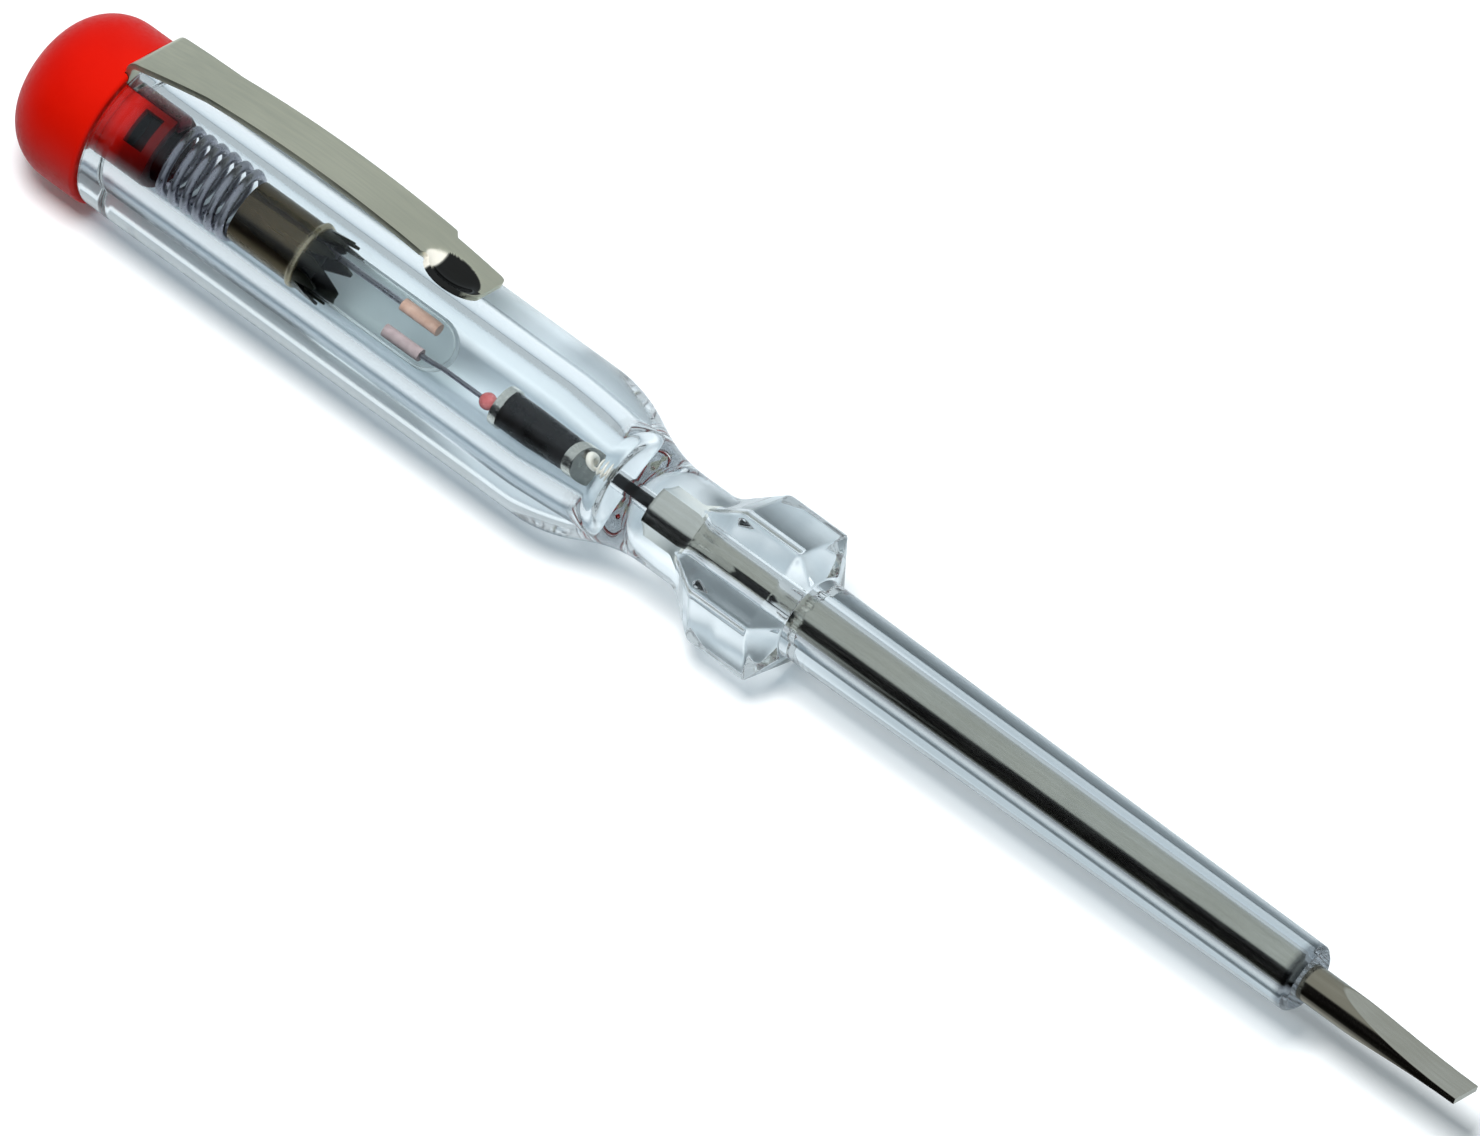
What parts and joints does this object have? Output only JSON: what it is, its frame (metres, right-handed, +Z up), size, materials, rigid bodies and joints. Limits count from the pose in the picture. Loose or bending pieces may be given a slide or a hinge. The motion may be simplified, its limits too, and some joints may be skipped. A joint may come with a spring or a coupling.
{
  "type": "voltage tester screwdriver",
  "caption": "Slim screwdriver with a clear handle, hexagonal anti-roll collar, pocket clip and a visible neon lamp, resistor and spring that show mains voltage.",
  "frame": {"origin": "on the surface that it lies on, below the middle of its length", "axes": "+X along the tool towards the blade tip, +Z up, turned as it lies in the picture with a corner of the collar down and the clip 21 degrees from straight up"},
  "size_m": [0.14, 0.014, 0.0162],
  "materials": {
    "clear_plastic": "clear gloss",
    "plated_steel": "nickel plated",
    "red_plastic": "satin",
    "clip_steel": "satin nickel",
    "spring_wire": "bright wire",
    "lamp_metal": "nickel on brass",
    "cement": "matte",
    "lamp_glass": "clear",
    "electrode": "coated",
    "red_bead": "gloss",
    "resistor_black": "lacquered"
  },
  "bodies": {
    "handle": {"handle": "clear_plastic", "shank_sleeve": "clear_plastic", "blade_shank": "plated_steel", "rear_spring": "spring_wire"},
    "cap": {"end_cap": "red_plastic", "clip_root": "clip_steel"},
    "clip": {"clip_strip": "clip_steel"},
    "stack": {"lamp_cap": "lamp_metal", "lamp_cement": "cement", "lamp_glass": "lamp_glass", "electrode_rear": "electrode", "electrode_front": "electrode", "lead_rear": "spring_wire", "lead_front": "spring_wire", "seal_bead": "red_bead", "resistor_body": "resistor_black", "resistor_rear_cap": "lamp_metal", "resistor_front_cap": "lamp_metal", "contact_coil": "spring_wire"}
  },
  "joints": [
    {"name": "cap_pull", "type": "slide", "parent": "handle", "child": "cap", "axis": [-1, 0, 0], "range_m": [0, 0.01]},
    {"name": "clip_flex", "type": "hinge", "parent": "cap", "child": "clip", "pos_m": [-0.0609, 0.00271, 0.01405], "axis": [0, -0.9336, 0.3584], "range_deg": [0, 6], "stiffness_Nm_per_rad": 0.6, "springref_deg": -1.15},
    {"name": "stack_float", "type": "slide", "parent": "handle", "child": "stack", "axis": [-1, 0, 0], "range_m": [0, 0.0015], "stiffness_N_per_m": 400, "springref_m": -0.002, "deforming": ["rear_spring"]}
  ]
}
